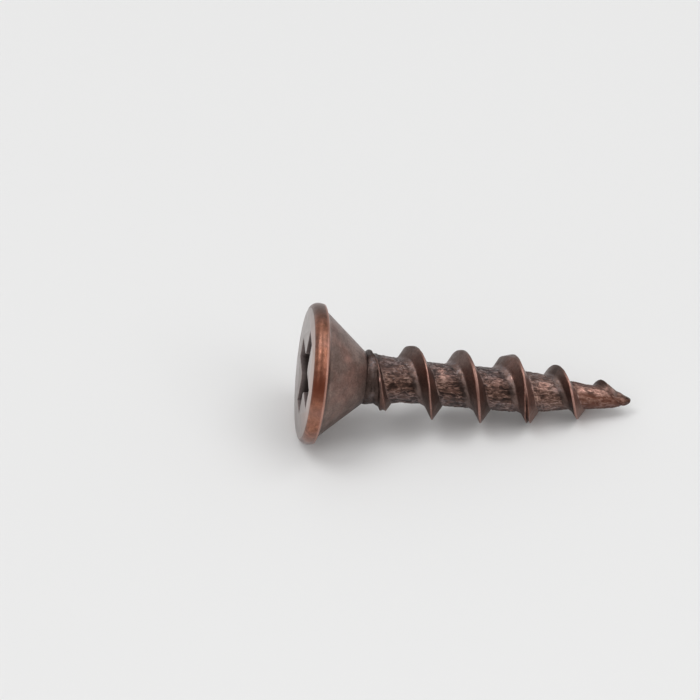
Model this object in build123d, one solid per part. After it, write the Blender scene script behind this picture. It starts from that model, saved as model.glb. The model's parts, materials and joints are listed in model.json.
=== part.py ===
from build123d import *
import math
import os

# Flat head wood screw with a cross recess and a coarse thread, made in one piece.
# It lies as it comes to rest: the rim and the thread near the point touch the ground.
# Sizes are in millimetres and degrees.  While the screw is built its axis is X, with the
# middle of the face at the origin and the point at +X.  Angles about the axis run from
# +Y to +Z.

# Head
OVERALL_LENGTH = 19.05  # face to point, three quarters of an inch
HEAD_DIAMETER = 8.10
RIM_UPPER = 0.46  # face to the widest circle of the rim
RIM_LOWER = 0.34  # widest circle to the rim's lower corner
RIM_ROUNDING = 0.315  # how far the rim's curve draws in to the face
RIM_FOOT = 0.05  # how far it draws in to its lower corner
RIM_STEP = 0.10  # height of the slanted step under the rim
CONE_INSET = 0.39  # how far that step brings the surface in from the widest circle
COUNTERSINK_ANGLE = 82.0  # included angle of the cone

# Shank
NECK_DIAMETER = 2.96  # where the cone ends
NECK_LENGTH = 1.90  # the neck narrows to the core over this length
CORE_DIAMETER = 2.44
POINT_LENGTH = 6.75  # tapered part of the core with the point
POINT_SHOULDER = 1.85  # point to where the taper gets steeper
POINT_SHOULDER_DIAMETER = 1.22
POINT_DIAMETER = 0.54  # blunt end
POINT_ROUNDING = 0.13  # radius around the blunt end
SEAM_TURN = -41.4  # where the turned surfaces start and end, about the axis

# Thread: single start, right-handed
THREAD_DIAMETER = 4.16
THREAD_PITCH = 2.82
THREAD_TURN = 63.0  # where the thread starts, about the axis
CREST_WIDTH = 0.10
FLANK_ANGLE = 30.0  # between a flank and a plane square to the axis
ROOT_FILLET_HEIGHT = 0.16  # of the fillet at the foot of the flank that faces the head
ROOT_FILLET_ANGLE = 62.0  # between that fillet and a plane square to the axis
RUN_OUT = 2.60  # the thread rises out of the neck over this length
THREAD_SHOULDER = 5.85  # point to where the crest's first steep taper ends
THREAD_SHOULDER_DIAMETER = 3.70
THREAD_KNEE = 3.15  # point to where its second steep taper starts
THREAD_KNEE_DIAMETER = 2.79
THREAD_END = 1.70  # point to where that taper ends
THREAD_END_DIAMETER = 2.22
THREAD_FADE = 0.90  # from there the thread sinks into the core over this length
THREAD_BED = 0.14  # depth of the ridge's foot inside the core

# Cross recess
RECESS_SPAN = 5.30  # across two opposite wings, at the face
RECESS_WING = 1.36  # width of a wing at the face
RECESS_DEPTH = 2.30  # of the wings
RECESS_CENTRE_DEPTH = 0.30  # of the conical bottom below the wings
RECESS_END_ANGLE = 26.5  # between the end of a wing and the axis
RECESS_SIDE_ANGLE = 3.0  # between the side of a wing and the axis
RECESS_CORNER = 0.42  # rounding of the four corners between the wings
RECESS_TURN = 0.0  # of the wings about the axis

STEPS_PER_QUARTER = 6  # points along each quarter turn of the thread's edges
STEPS_PER_TURN = 90  # places tried in each turn to find where the thread touches the ground
CUT_CLEARANCE = 0.50  # how far the recess tool stands out of the face

head_radius = HEAD_DIAMETER / 2
rim_height = RIM_UPPER + RIM_LOWER
rim_curve = (RIM_LOWER**2 + RIM_FOOT**2) / (2 * RIM_FOOT)  # radius below the widest circle
cone_radius = head_radius - CONE_INSET
neck_radius = NECK_DIAMETER / 2
core_radius = CORE_DIAMETER / 2
point_radius = POINT_DIAMETER / 2

cone_start = rim_height + RIM_STEP
cone_length = (cone_radius - neck_radius) / math.tan(math.radians(COUNTERSINK_ANGLE / 2))
neck_start = cone_start + cone_length
neck_end = neck_start + NECK_LENGTH
point_start = OVERALL_LENGTH - POINT_LENGTH
rounding_start = OVERALL_LENGTH - POINT_ROUNDING
thread_end = OVERALL_LENGTH - THREAD_END
thread_length = thread_end + THREAD_FADE - neck_start


def along(stations, x):
    """Radius at x on the straight runs between the (x, radius) stations."""
    for (x0, r0), (x1, r1) in zip(stations, stations[1:]):
        if x <= x1:
            return r0 + (r1 - r0) * (x - x0) / (x1 - x0)
    return stations[-1][1]


def core_stations():
    """Places where the core's radius is set, from the neck to the rounded end."""
    return [
        (neck_start, neck_radius),
        (neck_end, core_radius),
        (point_start, core_radius),
        (OVERALL_LENGTH - POINT_SHOULDER, POINT_SHOULDER_DIAMETER / 2),
        (rounding_start, point_radius),
    ]


def crest_stations():
    """Places where the crest's radius is set.  Both ends lie inside the core."""
    fade_end = thread_end + THREAD_FADE
    return [
        (neck_start, neck_radius - THREAD_BED / 2),
        (neck_start + RUN_OUT, THREAD_DIAMETER / 2),
        (point_start, THREAD_DIAMETER / 2),
        (OVERALL_LENGTH - THREAD_SHOULDER, THREAD_SHOULDER_DIAMETER / 2),
        (OVERALL_LENGTH - THREAD_KNEE, THREAD_KNEE_DIAMETER / 2),
        (thread_end, THREAD_END_DIAMETER / 2),
        (fade_end, along(core_stations(), fade_end) - THREAD_BED / 2),
    ]


def turned_blank():
    """Head, neck, core and point, as one solid of revolution."""
    core = core_stations()
    face_edge = (0, head_radius - RIM_ROUNDING)
    crown = (RIM_UPPER, head_radius)
    foot = (rim_height, head_radius - RIM_FOOT)
    blunt_edge = (OVERALL_LENGTH, point_radius - POINT_ROUNDING)
    outline = [
        Line((0, 0), face_edge),
        TangentArc(crown, face_edge, tangent=(-1, 0)),
        TangentArc(crown, foot, tangent=(1, 0)),
        Polyline(foot, (cone_start, cone_radius), *core),
        TangentArc(core[-1], blunt_edge, tangent=(1, 0)),
        Polyline(blunt_edge, (OVERALL_LENGTH, 0), (0, 0)),
    ]
    return revolve(make_face(Curve() + outline), Axis.X).rotate(Axis.X, SEAM_TURN)


def ridge_section(distance):
    """Corners of the ridge in the plane through the axis, a distance on from its start."""
    x = neck_start + distance
    turn = math.radians(THREAD_TURN + 360 * distance / THREAD_PITCH)
    crest = along(crest_stations(), x)
    foot = along(core_stations(), x) - THREAD_BED
    knee = foot + min(THREAD_BED + ROOT_FILLET_HEIGHT, (crest - foot) / 2)
    flank = math.tan(math.radians(FLANK_ANGLE))
    fillet = math.tan(math.radians(ROOT_FILLET_ANGLE))
    knee_x = x - CREST_WIDTH / 2 - (crest - knee) * flank
    corners = [
        (x + CREST_WIDTH / 2 + (crest - foot) * flank, foot),
        (x + CREST_WIDTH / 2, crest),
        (x - CREST_WIDTH / 2, crest),
        (knee_x, knee),
        (knee_x - (knee - foot) * fillet, foot),
    ]
    return [Vector(place, r * math.cos(turn), r * math.sin(turn)) for place, r in corners]


def ridge_edges(start, end):
    """The helical edges through the section's corners, from one distance to another."""
    reach = (end - start) / STEPS_PER_QUARTER
    sections = [ridge_section(start + i * reach) for i in range(STEPS_PER_QUARTER + 1)]
    nudge = reach / 100
    before = [(b - a).normalized() for a, b in zip(sections[0], ridge_section(start + nudge))]
    after = [(b - a).normalized() for a, b in zip(ridge_section(end - nudge), sections[-1])]
    return [
        Edge.make_spline([section[i] for section in sections], tangents=[before[i], after[i]])
        for i in range(len(sections[0]))
    ]


def thread():
    """The thread's ridge as a solid, in quarter turns, bedded in the core."""
    quarters = math.ceil(4 * thread_length / THREAD_PITCH)
    faces = []
    for quarter in range(quarters):
        start, end = (thread_length * n / quarters for n in (quarter, quarter + 1))
        edges = ridge_edges(start, end)
        for edge, neighbour in zip(edges, edges[1:] + edges[:1]):
            faces.append(Face.make_surface_from_curves(edge, neighbour))
    for distance in (0, thread_length):
        faces.append(Face(Wire.make_polygon(ridge_section(distance), close=True)))
    return Solid(Shell(faces))


def wing_section(x, long_side_across):
    """Outline of a pair of opposite wings in the plane square to the axis at x."""
    span = RECESS_SPAN - 2 * x * math.tan(math.radians(RECESS_END_ANGLE))
    width = RECESS_WING - 2 * x * math.tan(math.radians(RECESS_SIDE_ANGLE))
    size = (span, width) if long_side_across else (width, span)
    return Plane.YZ.offset(x) * Rectangle(*size)


def is_between_wings(edge):
    """Whether an edge runs down one of the four inner corners of the cross."""
    middle = edge.center()
    runs_down = abs(edge.tangent_at(0.5).X) > 0.9
    return runs_down and max(abs(middle.Y), abs(middle.Z)) < RECESS_WING


def recess():
    """What the cross recess takes out of the head."""
    wings = [
        loft([wing_section(x, across) for x in (-CUT_CLEARANCE, RECESS_DEPTH)])
        for across in (True, False)
    ]
    cross = wings[0] + wings[1]
    between_wings = [edge for edge in cross.edges() if is_between_wings(edge)]
    cross = fillet(between_wings, RECESS_CORNER)
    bottom_radius = RECESS_WING / 2 - RECESS_DEPTH * math.tan(math.radians(RECESS_SIDE_ANGLE))
    profile = Plane.XY * Polyline(
        (RECESS_DEPTH, 0), (RECESS_DEPTH, bottom_radius), (RECESS_DEPTH + RECESS_CENTRE_DEPTH, 0), close=True
    )
    bottom = revolve(make_face(profile), Axis.X)
    return (cross + bottom).rotate(Axis.X, RECESS_TURN)


def rest_tilt():
    """Angle between the axis and the ground when rim and thread both touch it."""
    angles = []
    steps = math.ceil(STEPS_PER_TURN * thread_length / THREAD_PITCH)
    for step in range(steps + 1):
        for corner in ridge_section(thread_length * step / steps):
            run = corner.X - RIM_UPPER
            rise = head_radius - rim_curve + corner.Z
            angles.append(math.atan2(rise, run) + math.asin(rim_curve / math.hypot(run, rise)))
    return math.degrees(min(angles))


def main():
    """Build the screw, lay it down point to +X and write it."""
    screw = turned_blank() + thread() - recess()
    screw = screw.rotate(Axis.Y, rest_tilt())
    box = screw.bounding_box()
    screw = Pos(-box.center().X, -box.center().Y, -box.min.Z) * screw
    screw.label = "flat_head_screw"
    os.makedirs("parts", exist_ok=True)
    export_step(screw, "parts/flat_head_screw.step")
    print("tilt", round(rest_tilt(), 2), "box", box.size, "volume", round(screw.volume, 2))


main()
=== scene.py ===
"""Flat head wood screw in an antique copper finish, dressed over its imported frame.

The screw is modelled in millimetres with its axis on +Z, the middle of its face at the
origin and its point at +Z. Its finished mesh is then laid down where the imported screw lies.
Angles about the axis run from +X to +Y, where +Y is the side that ends up on top.
"""

import json
import math
from collections import namedtuple

import bmesh
import bpy
from bpy.props import FloatProperty, FloatVectorProperty, IntProperty, PointerProperty
from bpy.types import Operator, Panel, PropertyGroup
from mathutils import Matrix, Quaternion, Vector, noise


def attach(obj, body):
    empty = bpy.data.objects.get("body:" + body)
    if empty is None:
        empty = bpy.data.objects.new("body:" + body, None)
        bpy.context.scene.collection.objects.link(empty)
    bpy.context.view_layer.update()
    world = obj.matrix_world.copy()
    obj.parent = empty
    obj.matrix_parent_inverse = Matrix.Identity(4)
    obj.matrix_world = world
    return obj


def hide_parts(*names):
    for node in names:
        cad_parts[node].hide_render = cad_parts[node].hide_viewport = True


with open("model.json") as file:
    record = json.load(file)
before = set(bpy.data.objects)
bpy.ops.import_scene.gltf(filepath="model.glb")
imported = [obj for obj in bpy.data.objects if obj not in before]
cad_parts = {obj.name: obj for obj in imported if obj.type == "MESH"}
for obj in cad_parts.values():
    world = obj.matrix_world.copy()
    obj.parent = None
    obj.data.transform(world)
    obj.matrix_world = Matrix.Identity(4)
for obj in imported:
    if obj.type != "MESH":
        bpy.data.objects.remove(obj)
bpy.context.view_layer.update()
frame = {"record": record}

bl_info = {
    "name": "Flat Head Screw",
    "version": (1, 0, 0),
    "blender": (4, 5, 0),
    "location": "View3D > Sidebar > Screw",
    "description": "Models a flat head wood screw with a cross recess in antique copper",
    "category": "Add Mesh",
}


class HeadSizes(PropertyGroup):
    """Sizes of the countersunk head and its cross recess."""

    diameter: FloatProperty(
        name="Diameter", description="Widest circle of the rim", default=0.0081, unit="LENGTH"
    )
    face_diameter: FloatProperty(
        name="Face", description="Flat circle inside the rim", default=0.00747, unit="LENGTH"
    )
    rim_upper: FloatProperty(
        name="Rim upper", description="Face to the widest circle", default=0.00046, unit="LENGTH"
    )
    rim_lower: FloatProperty(
        name="Rim lower", description="Widest circle to the lower corner",
        default=0.00034, unit="LENGTH",
    )
    rim_foot: FloatProperty(
        name="Rim foot", description="How far the rim draws in at its lower corner",
        default=0.00005, unit="LENGTH",
    )
    step: FloatProperty(
        name="Step", description="Height of the slanted step under the rim",
        default=0.0001, unit="LENGTH",
    )
    cone_inset: FloatProperty(
        name="Cone inset", description="Widest circle to the start of the cone",
        default=0.00039, unit="LENGTH",
    )
    countersink: FloatProperty(
        name="Countersink", description="Included angle of the cone",
        default=math.radians(82), subtype="ANGLE",
    )
    recess_span: FloatProperty(
        name="Recess span", description="Across two opposite wings", default=0.0053, unit="LENGTH"
    )
    recess_wing: FloatProperty(
        name="Recess wing", description="Width of a wing at the face",
        default=0.00136, unit="LENGTH",
    )
    recess_depth: FloatProperty(
        name="Recess depth", description="Depth of the wings", default=0.0023, unit="LENGTH"
    )
    recess_bottom: FloatProperty(
        name="Recess bottom", description="Depth of the hollow below the wings",
        default=0.0003, unit="LENGTH",
    )
    recess_end_angle: FloatProperty(
        name="Wing end", description="Slope of a wing's end",
        default=math.radians(26.5), subtype="ANGLE",
    )
    recess_side_angle: FloatProperty(
        name="Wing side", description="Slope of a wing's side",
        default=math.radians(3), subtype="ANGLE",
    )
    recess_corner: FloatProperty(
        name="Wing corner", description="Rounding between two wings", default=0.00042, unit="LENGTH"
    )
    segments: IntProperty(name="Segments", description="Sides of the turned head", default=256, min=32)


class ShankSizes(PropertyGroup):
    """Sizes of the neck, the thread and the point."""

    length: FloatProperty(
        name="Length", description="Face to point", default=0.01905, unit="LENGTH"
    )
    neck_diameter: FloatProperty(
        name="Neck", description="Where the cone ends", default=0.00296, unit="LENGTH"
    )
    pitch: FloatProperty(name="Pitch", description="Rise of one turn", default=0.00282, unit="LENGTH")
    start_turn: FloatProperty(
        name="Start", description="Where the thread leaves the cone",
        default=math.radians(63), subtype="ANGLE",
    )
    flank: FloatProperty(
        name="Flank", description="Flank against a plane square to the axis",
        default=math.radians(30), subtype="ANGLE",
    )
    fillet: FloatProperty(
        name="Fillet", description="Foot of the flank that faces the head",
        default=math.radians(62), subtype="ANGLE",
    )
    fillet_height: FloatProperty(
        name="Fillet height", description="Of the foot above the core",
        default=0.00016, unit="LENGTH",
    )
    roughness: FloatProperty(
        name="Root wrinkles", description="Height of the rolled wrinkles",
        default=0.00005, unit="LENGTH",
    )
    steps: IntProperty(name="Steps", description="Steps in each turn of the thread", default=192, min=48)


class CopperLook(PropertyGroup):
    """Colours of the antique copper finish, some of which also stand for painted shade, sheen, highlights and
    reflection.
    """

    oxide: FloatVectorProperty(
        name="Oxide", description="Dull brown of the cone and flanks",
        subtype="COLOR", default=(0.212, 0.148, 0.128),
    )
    patch: FloatVectorProperty(
        name="Patch", description="Reddish patches in the oxide",
        subtype="COLOR", default=(0.25, 0.125, 0.1),
    )
    # Also painted sheen: this grey lightens the upper and lower sides of the roots and fillets, their lips,
    # the neck's facets and the rim's underside.
    film_and_sheen: FloatVectorProperty(
        name="Film", description="Greyish film on the fillets and upper sides",
        subtype="COLOR", default=(0.25, 0.205, 0.205),
    )
    # Also the painted dark reflection across the rim near 154 degrees.
    tarnish_and_dark_reflection: FloatVectorProperty(
        name="Tarnish", description="Dark red of the flanks towards the point",
        subtype="COLOR", default=(0.14, 0.042, 0.024),
    )
    rubbed: FloatVectorProperty(
        name="Rubbed", description="Copper of the rim",
        subtype="COLOR", default=(0.295, 0.128, 0.082),
    )
    ground: FloatVectorProperty(
        name="Ground", description="Brown ground between the rolled strokes",
        subtype="COLOR", default=(0.155, 0.094, 0.075),
    )
    # Partly painted highlights: the lightest parts of the roots' rolled pattern take this colour.
    stroke: FloatVectorProperty(
        name="Stroke", description="Rolled strokes that stand out of the roots",
        subtype="COLOR", default=(0.43, 0.3, 0.25),
    )
    # Also painted glints on some patches near the point.
    worn: FloatVectorProperty(
        name="Worn", description="Bare copper on the crests",
        subtype="COLOR", default=(0.6, 0.34, 0.28),
    )
    # Painted shade as well as soot: this near-black goes into the recess, the roots' hollows, the neck,
    # creases and the shaded sides.
    soot: FloatVectorProperty(
        name="Soot", description="Black in the recess and roots",
        subtype="COLOR", default=(0.02, 0.013, 0.011),
    )
    face: FloatVectorProperty(
        name="Face", description="Greyish plating of the face",
        subtype="COLOR", default=(0.168, 0.118, 0.102),
    )


class StageLook(PropertyGroup):
    """The floor and the lamps."""

    floor: FloatVectorProperty(
        name="Floor", description="Colour of the floor",
        subtype="COLOR", default=(0.79, 0.79, 0.788),
    )
    ceiling: FloatProperty(name="Ceiling", description="Brightness of the room overhead", default=0.49)
    horizon: FloatProperty(name="Horizon", description="Brightness of the room's walls", default=0.82)
    left: FloatProperty(name="Left", description="Power of the high left lamp", default=1.25, unit="POWER")
    right: FloatProperty(name="Right", description="Power of the high right lamp", default=0.87, unit="POWER")
    back: FloatProperty(name="Back", description="Power of the high rear lamp", default=0.2, unit="POWER")
    front_left: FloatProperty(
        name="Front left", description="Power of the low lamp in front, left",
        default=0.4, unit="POWER",
    )
    front_right: FloatProperty(
        name="Front right", description="Power of the low lamp in front, right",
        default=0.62, unit="POWER",
    )


PIECE = "flat_head_screw_dressed"
MILLIMETRE = 0.001  # metres
# Marks on the screw's points that its finish follows, carrying painted shade, highlights and sheen as well as
# wear, wrinkles and tones
MARKS = ("worn", "root", "high", "soot", "ruddy", "pale")
# The screw's material slots
OXIDE, RUBBED, FACE, RECESS = range(4)
FACE_DEPTH = 0.005  # millimetres from the face within which a point counts as on it
RECESS_MARGIN = 0.1  # millimetres beyond the wings' ends that still count as the recess
RECESS_DRAW = 0.45  # how much narrower that gets per millimetre of depth
SMOOTH_ANGLE = math.radians(38)  # steepest edge that is still shaded smooth
HEAD_END = 3.0  # millimetres from the face, below the recess, where only oxide is left


def millimetres(length):
    """Metres of a property as the millimetres that the screw is modelled in."""
    return length * 1000


def blend(value, low, high):
    """Smooth rise from 0 at low to 1 at high."""
    share = min(1.0, max(0.0, (value - low) / (high - low)))
    return share * share * (3 - 2 * share)


def bell(distance, reach):
    """Soft hump that is 1 where the distance is 0 and has nearly gone at twice the reach."""
    return math.exp(-((distance / reach) ** 2))


def along(stations, place):
    """Value at a place on the straight runs between the (place, value) stations."""
    if place <= stations[0][0]:
        return stations[0][1]
    for (a, value_a), (b, value_b) in zip(stations, stations[1:]):
        if place <= b:
            return value_a + (value_b - value_a) * (place - a) / (b - a)
    return stations[-1][1]


def turn_gap(turn, degrees):
    """Angle between a turn and a direction given in degrees, without regard to sign."""
    return abs((turn - math.radians(degrees) + math.pi) % math.tau - math.pi)


def towards(turn, degrees, reach):
    """Soft share of a turn, 1 in a direction given in degrees and nearly 0 at twice the reach."""
    return bell(turn_gap(turn, degrees), reach)


def spot_gap(turn, place, where, facing, length, wide, radius=1.0):
    """Distance from a spot's middle in its half lengths and half widths, on that radius."""
    return math.hypot((place - where) / length, turn_gap(turn, facing) * radius / wide)


def spot(*where):
    """Soft spot, 1 in its middle, from the numbers that spot_gap takes."""
    return bell(spot_gap(*where), 1)


def around_axis(turn, place, radius, size, length):
    """Noise from about -1 to 1 with lumps of one size around the axis and another along it."""
    point = (math.cos(turn) * radius / size, math.sin(turn) * radius / size, place / length)
    return noise.noise(Vector(point))


# Picking and shaping in edit mode


def object_mode():
    """Leave edit mode where it is on."""
    if bpy.context.mode != "OBJECT":
        bpy.ops.object.mode_set(mode="OBJECT")


def work_on(piece):
    """Leave edit mode and make the piece the only selected and the active object."""
    object_mode()
    bpy.ops.object.select_all(action="DESELECT")
    piece.select_set(True)
    bpy.context.view_layer.objects.active = piece


def edit(piece):
    """Make the piece the only selected object and go into edit mode on it."""
    work_on(piece)
    bpy.ops.object.mode_set(mode="EDIT")


def pick(piece, kind, wanted):
    """Select the vertices, edges or faces of the piece in edit mode for which wanted is true."""
    bpy.ops.mesh.select_mode(type=kind)
    bpy.ops.mesh.select_all(action="DESELECT")
    mesh = bmesh.from_edit_mesh(piece.data)
    parts = {"VERT": mesh.verts, "EDGE": mesh.edges, "FACE": mesh.faces}[kind]
    found = [part for part in parts if wanted(part)]
    if not found:
        raise RuntimeError(f"{piece.name}: nothing to pick")
    for part in found:
        part.select_set(True)
    mesh.select_flush_mode()
    bmesh.update_edit_mesh(piece.data)


def merge_doubles(threshold):
    """Merge all points of the mesh in edit mode that lie closer than the threshold."""
    bpy.ops.mesh.select_all(action="SELECT")
    bpy.ops.mesh.remove_doubles(threshold=threshold)


def face_outwards():
    """Turn all faces of the mesh in edit mode outwards, and leave edit mode."""
    bpy.ops.mesh.select_all(action="SELECT")
    bpy.ops.mesh.normals_make_consistent(inside=False)
    object_mode()


def single_point(name, place):
    """A new object in edit mode that is one vertex, ready to be extruded into an outline."""
    object_mode()
    bpy.ops.object.select_all(action="DESELECT")
    bpy.ops.mesh.primitive_plane_add(size=0.1, location=(0, 0, 0))
    piece = bpy.context.object
    piece.name = name
    bpy.ops.object.mode_set(mode="EDIT")
    bpy.ops.mesh.select_mode(type="VERT")
    bpy.ops.mesh.select_all(action="SELECT")
    bpy.ops.mesh.merge(type="CENTER")
    bpy.ops.transform.translate(value=place)
    return piece


def extrude_by(step):
    """Extrude what is selected by a step."""
    bpy.ops.mesh.extrude_region_move(TRANSFORM_OT_translate={"value": step})


def extrude_through(places):
    """Extrude the selected vertex from the first place through the others."""
    for start, end in zip(places, places[1:]):
        extrude_by(Vector(end) - Vector(start))


def apply_modifier(piece, kind, **settings):
    """Add a modifier with its settings and apply it."""
    work_on(piece)
    modifier = piece.modifiers.new(kind.title(), kind)
    for setting, value in settings.items():
        setattr(modifier, setting, value)
    bpy.ops.object.modifier_apply(modifier=modifier.name)


# Head

TURNED_MERGE = 0.0005  # points of the turned head this close are one
UPPER_STEPS = 9  # points of the rim's rounded upper part
BAND_STEPS = 6  # points of its nearly straight lower part
BAND_SHARE = 0.93  # of the band's height, below which its corner is broken
CONE_STEPS = 28
EDGE_ROUNDING = 0.045  # width of the rounding around the recess
PUNCH_CLEARANCE = 0.4  # how far the punch stands out of the face


def neck_start(head, shank):
    """Where the cone meets the neck, in millimetres from the face."""
    cone_radius = millimetres(head.diameter / 2 - head.cone_inset)
    cone_top = millimetres(head.rim_upper + head.rim_lower + head.step)
    run = (cone_radius - millimetres(shank.neck_diameter) / 2) / math.tan(head.countersink / 2)
    return cone_top + run


def bow(widest, curve, away):
    """Radius on an arc that bows out to the widest radius, a distance away from its middle."""
    return widest - curve + math.sqrt(curve**2 - away**2)


def head_outline(head, shank):
    """(radius, place) pairs from the edge of the face over the rim and down the cone."""
    widest = millimetres(head.diameter) / 2
    face = millimetres(head.face_diameter) / 2
    upper = millimetres(head.rim_upper)
    lower = millimetres(head.rim_lower)
    foot = millimetres(head.rim_foot)
    draw = widest - face
    upper_curve = (upper**2 + draw**2) / (2 * draw)
    lower_curve = (lower**2 + foot**2) / (2 * foot)
    outline = [(face - 0.03, 0.0), (face + 0.012, 0.022)]
    for step in range(2, UPPER_STEPS + 1):
        place = upper * (step / UPPER_STEPS) ** 1.35
        outline.append((bow(widest, upper_curve, upper - place), place))
    for step in range(1, BAND_STEPS + 1):
        place = lower * step / BAND_STEPS * BAND_SHARE
        outline.append((bow(widest, lower_curve, place), upper + place))
    rim_end = upper + lower
    cone_radius = widest - millimetres(head.cone_inset)
    cone_top = rim_end + millimetres(head.step)
    outline += [
        (widest - foot - 0.012, rim_end),
        (widest - foot - 0.045, rim_end + 0.018),
        (cone_radius + 0.12, cone_top - 0.022),
        (cone_radius + 0.035, cone_top + 0.004),
    ]
    narrowing = millimetres(shank.neck_diameter) / 2 - cone_radius
    run = neck_start(head, shank) - cone_top
    for step in range(1, CONE_STEPS + 1):
        share = step / CONE_STEPS
        outline.append((cone_radius + narrowing * share, cone_top + run * share))
    return outline


def turned_head(head, shank):
    """The head as a closed turned blank, without its recess."""
    outline = head_outline(head, shank)
    places = [(radius, 0, place) for radius, place in outline]
    blank = single_point(PIECE, places[0])
    extrude_through(places)
    bpy.ops.mesh.select_all(action="SELECT")
    bpy.ops.mesh.spin(
        steps=head.segments, angle=math.tau, center=(0, 0, 0), axis=(0, 0, 1), use_auto_merge=True
    )
    merge_doubles(TURNED_MERGE)
    for end in (outline[0][1], outline[-1][1]):
        pick(blank, "EDGE", lambda edge: edge.is_boundary and abs(edge.verts[0].co.z - end) < 1e-3)
        bpy.ops.mesh.edge_face_add()
    face_outwards()
    return blank


def recess_tool(head):
    """The cross shaped punch that leaves the recess in the face."""
    wing = millimetres(head.recess_wing) / 2
    span = millimetres(head.recess_span) / 2
    depth = millimetres(head.recess_depth)
    object_mode()
    bpy.ops.object.select_all(action="DESELECT")
    bpy.ops.mesh.primitive_grid_add(x_subdivisions=3, y_subdivisions=3, size=2, location=(0, 0, 0))
    punch = bpy.context.object
    punch.name = "recess_punch"
    bpy.ops.object.mode_set(mode="EDIT")
    # The outer lines of the grid, 1 from the middle, go out to the ends of the wings, and the
    # inner ones, a third from the middle, to their sides
    for axis in (0, 1):
        for inner, factor in ((False, span), (True, wing * 3)):
            pick(punch, "VERT", lambda vertex: (abs(vertex.co[axis]) < 0.5) == inner)
            stretch = [1, 1, 1]
            stretch[axis] = factor
            bpy.ops.transform.resize(value=stretch, center_override=(0, 0, 0))
    pick(punch, "FACE", lambda face: min(abs(c) for c in face.calc_center_median()[:2]) > wing)
    bpy.ops.mesh.delete(type="FACE")
    bpy.ops.mesh.select_all(action="SELECT")
    bpy.ops.transform.translate(value=(0, 0, -PUNCH_CLEARANCE))
    extrude_by((0, 0, depth + PUNCH_CLEARANCE))
    side = (wing - depth * math.tan(head.recess_side_angle)) / wing
    bpy.ops.transform.resize(value=(side, side, 1), center_override=(0, 0, 0))
    end_draw = depth * math.tan(head.recess_end_angle)
    for axis in (0, 1):
        for sign in (-1, 1):
            pick(punch, "VERT", lambda vertex: vertex.co.z > 0 and vertex.co[axis] * sign > wing * 1.2)
            shift = [0, 0, 0]
            shift[axis] = sign * ((span - end_draw) - span * side)
            bpy.ops.transform.translate(value=shift)
    pick(
        punch,
        "EDGE",
        lambda edge: abs(edge.verts[0].co.z - edge.verts[1].co.z) > depth / 2
        and all(max(abs(v.co.x), abs(v.co.y)) < wing * 1.1 for v in edge.verts),
    )
    bpy.ops.mesh.bevel(offset=millimetres(head.recess_corner), segments=6, affect="EDGES")
    pick(
        punch,
        "FACE",
        lambda face: face.calc_center_median().z > depth - 1e-3 and face.calc_center_median().xy.length < 0.1,
    )
    bpy.ops.mesh.poke(offset=millimetres(head.recess_bottom))
    face_outwards()
    return punch


def cut_recess(blank, head):
    """Punch the recess into the blank and round its edge."""
    punch = recess_tool(head)
    apply_modifier(blank, "BOOLEAN", object=punch, operation="DIFFERENCE", solver="EXACT")
    bpy.data.objects.remove(punch)
    edit(blank)
    reach = millimetres(head.recess_span) * 0.55
    pick(
        blank,
        "EDGE",
        lambda edge: all(abs(v.co.z) < 1e-4 and v.co.xy.length < reach for v in edge.verts)
        and abs(edge.calc_face_angle(0)) > 0.5,
    )
    bpy.ops.mesh.bevel(offset=EDGE_ROUNDING, segments=3, affect="EDGES")
    object_mode()


# Shank: places are in millimetres from the face and directions in degrees about the axis.
# A crest is known by its centre, the place of its middle.

# Radius between the turns of the thread, by place
CORE_RADII = (
    (3.41, 1.44), (4.0, 1.40), (4.7, 1.335), (5.15, 1.30), (5.6, 1.20), (12.3, 1.19), (14.0, 1.05),
    (15.3, 0.83), (17.2, 0.63), (18.0, 0.525), (18.4, 0.41), (18.7, 0.255), (18.92, 0.165), (19.05, 0.1),
)
# Radius of the crest, by centre
CREST_RADII = (
    (3.05, 1.30), (3.42, 1.53), (4.01, 1.67), (4.72, 1.79), (5.4, 1.97), (6.0, 2.07), (9.9, 2.075),
    (10.36, 2.03), (10.75, 2.07), (12.3, 2.08), (12.9, 1.89), (13.2, 1.82), (13.49, 1.80), (14.1, 1.72),
    (14.6, 1.69), (15.0, 1.60), (15.3, 1.50), (15.9, 1.36), (16.31, 1.31), (17.0, 1.13), (17.35, 1.08),
    (17.55, 0.95), (17.75, 0.76), (17.95, 0.58), (18.11, 0.46), (18.4, 0.3), (19.0, 0.05),
)
# How far the crest stands off from the even helix, by centre
CREST_SHIFTS = (
    (3.0, 0.38), (3.42, 0.28), (4.01, 0.08), (4.72, -0.06), (5.4, -0.02), (6.1, -0.04), (6.45, 0.05),
    (7.0, 0.0), (11.2, 0.0), (11.77, 0.17), (12.4, 0.02), (12.9, -0.05), (13.3, 0.0), (14.5, -0.08),
    (15.2, 0.0), (16.6, 0.0), (17.3, -0.11), (17.9, -0.06), (18.4, 0.0),
)
# Half width of the crest, by centre
CREST_HALF_WIDTHS = (
    (3.4, 0.03), (4.0, 0.05), (4.72, 0.17), (5.3, 0.07), (6.2, 0.03), (8.9, 0.035), (9.5, 0.08),
    (10.0, 0.04), (12.4, 0.035), (12.6, 0.09), (12.9, 0.115), (13.2, 0.11), (13.6, 0.04), (16.5, 0.035),
    (17.0, 0.02),
)
# Depth of the lap down the middle of the crest, where rolling has split it, by centre
CREST_LAPS = (
    (3.6, 0.0), (4.1, 0.02), (4.72, 0.075), (5.2, 0.03), (5.6, 0.0), (12.45, 0.0), (12.6, 0.1),
    (12.95, 0.15), (13.25, 0.13), (13.6, 0.0),
)
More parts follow.
